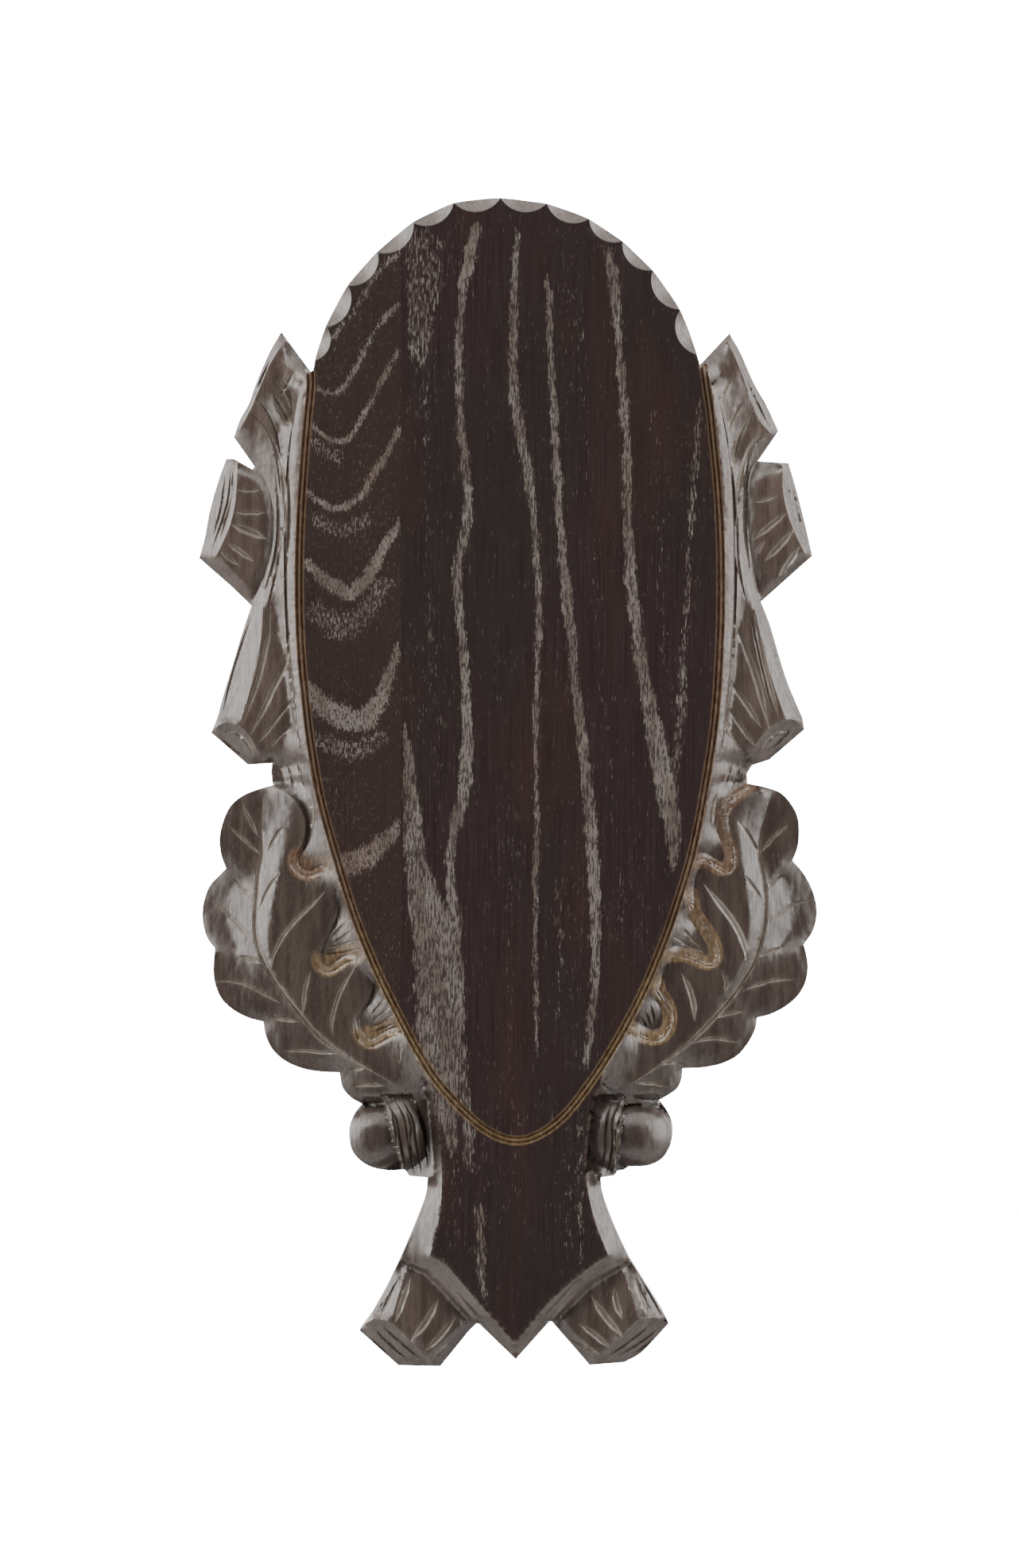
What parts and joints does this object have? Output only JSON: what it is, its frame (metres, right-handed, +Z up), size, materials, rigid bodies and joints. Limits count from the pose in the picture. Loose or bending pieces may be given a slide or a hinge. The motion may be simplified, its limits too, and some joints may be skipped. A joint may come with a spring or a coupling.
{
  "type": "carved wooden trophy plaque",
  "caption": "Egg-shaped wall plaque of dark-stained ash with a gouged crown, carved branch stubs, oak leaves and acorns at the sides and a pointed tail, with a keyhole plate in the back.",
  "frame": {"origin": "middle of the flat back, on the wall's surface", "axes": "+X to the right seen from the front, +Z up, +Y into the wall; the carved front faces -Y"},
  "size_m": [0.1324, 0.02, 0.2501],
  "materials": {
    "stained_ash": "brushed ash, stained near black with pale filled pores, satin lacquer",
    "zinc_plate": "zinc plated, rolled, slightly dull",
    "screw_steel": "yellow passivated zinc"
  },
  "bodies": {
    "root": {"left_board": "stained_ash", "left_board_foot": "stained_ash", "right_board": "stained_ash", "keyhole_hanger": "zinc_plate", "hanger_screw_left": "screw_steel", "hanger_screw_right": "screw_steel"}
  },
  "joints": []
}
